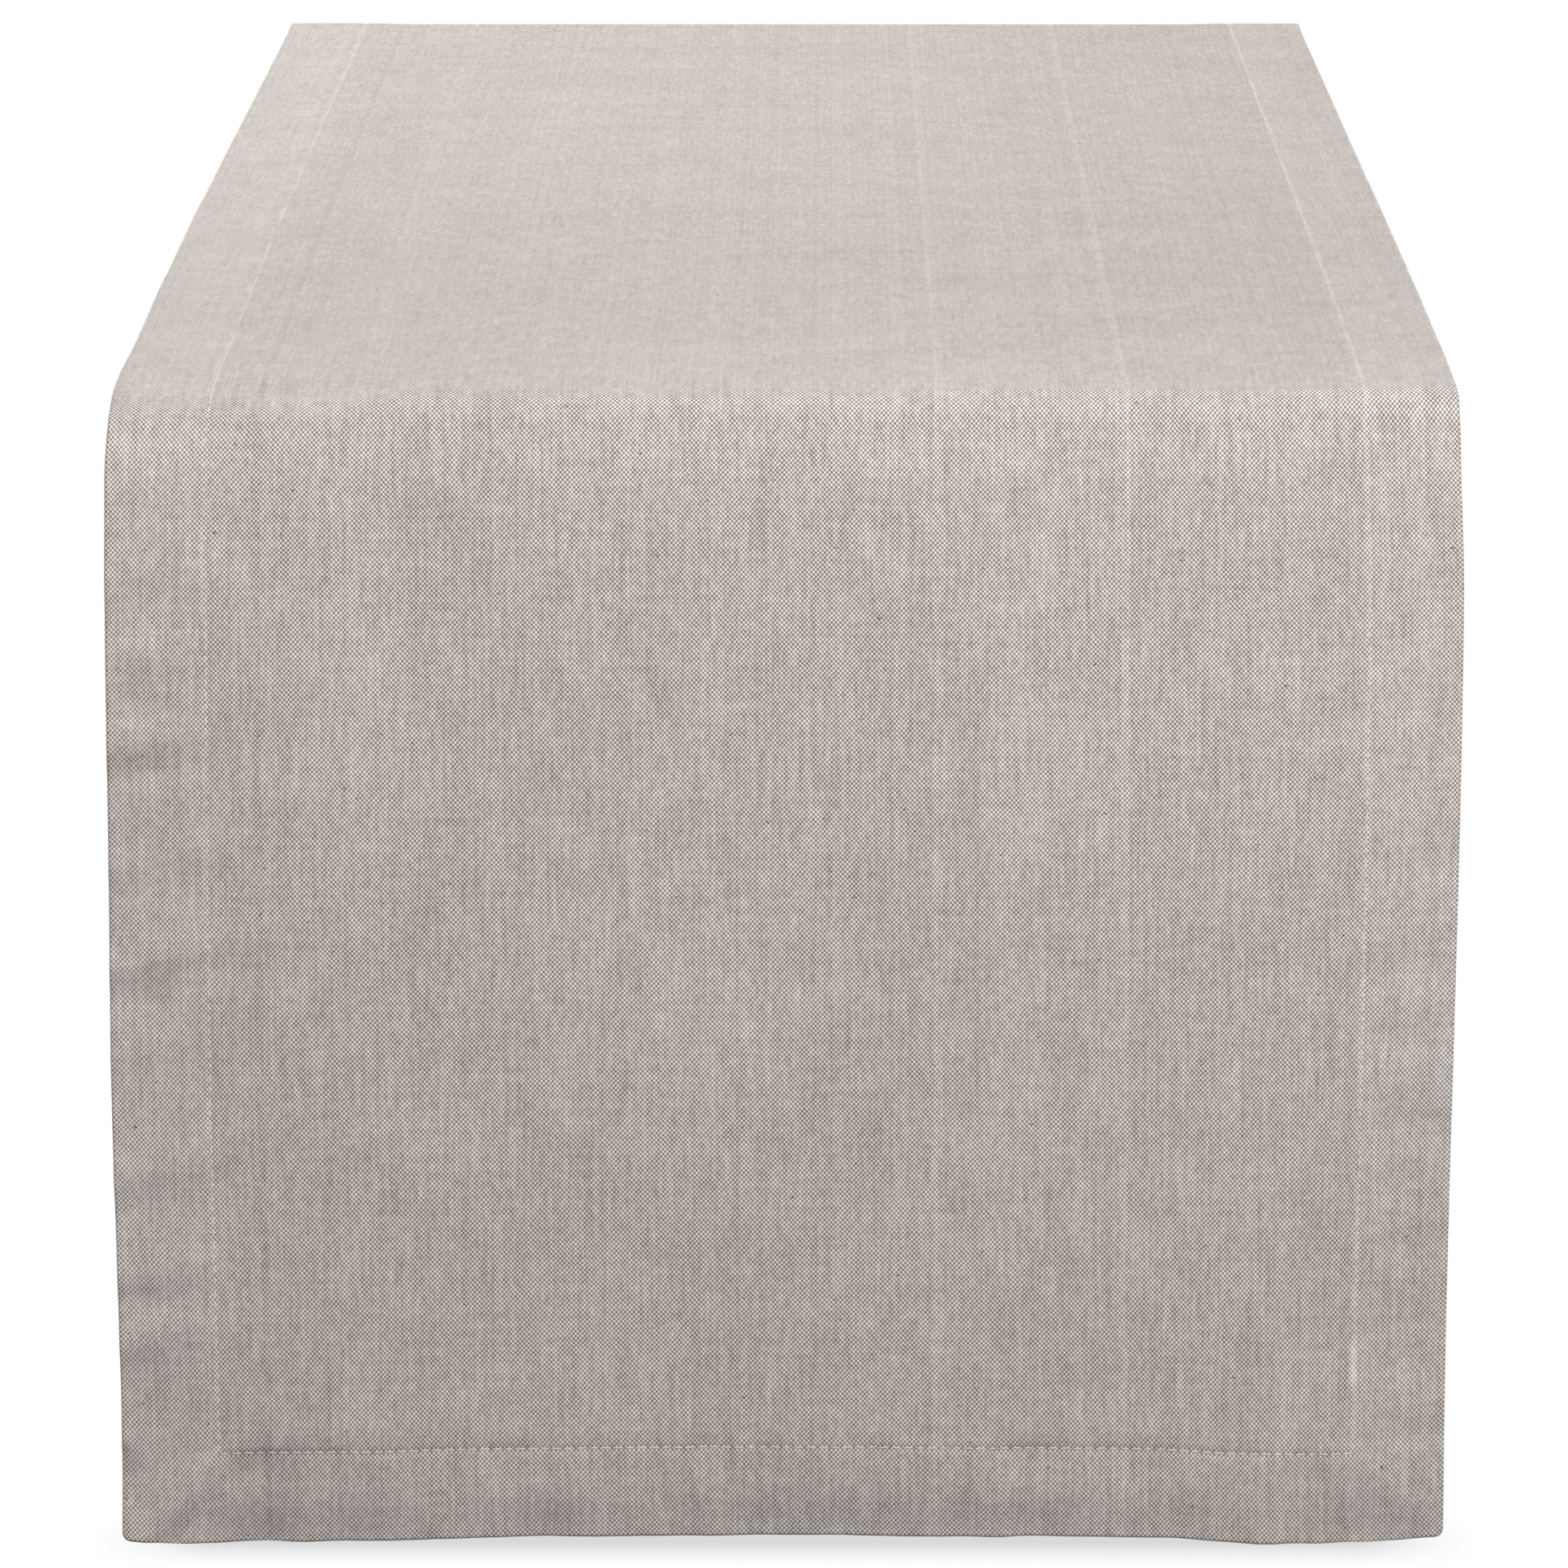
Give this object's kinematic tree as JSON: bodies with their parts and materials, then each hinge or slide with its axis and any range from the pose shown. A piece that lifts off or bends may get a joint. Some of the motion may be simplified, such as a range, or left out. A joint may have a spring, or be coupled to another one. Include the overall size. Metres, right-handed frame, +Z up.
{
  "type": "table runner",
  "caption": "Long narrow cloth draped over a table top, with a drop at each end, double-turned mitred hems and contrasting hem stitching.",
  "frame": {"origin": "centre of the flat top's underside, where the cloth rests on the table top", "axes": "+Z up, +Y along the runner towards the back drop, +X across it; the front drop hangs at -Y"},
  "size_m": [0.3556, 1.2226, 0.3095],
  "materials": {
    "chambray": "matte taupe and white plain weave",
    "chambray_hem": "matte taupe and white plain weave",
    "thread": "soft cream cotton thread",
    "label_ribbon": "blank white satin ribbon"
  },
  "bodies": {
    "root": {"ground_cloth": "chambray", "left_hem": "chambray_hem", "right_hem": "chambray_hem", "front_hem": "chambray_hem", "back_hem": "chambray_hem", "left_needle_thread": "thread", "right_needle_thread": "thread", "front_needle_thread": "thread", "back_needle_thread": "thread", "left_bobbin_thread": "thread", "right_bobbin_thread": "thread", "front_bobbin_thread": "thread", "back_bobbin_thread": "thread", "front_left_mitre_seam": "thread", "front_right_mitre_seam": "thread", "back_left_mitre_seam": "thread", "back_right_mitre_seam": "thread", "care_label": "label_ribbon"}
  },
  "joints": []
}
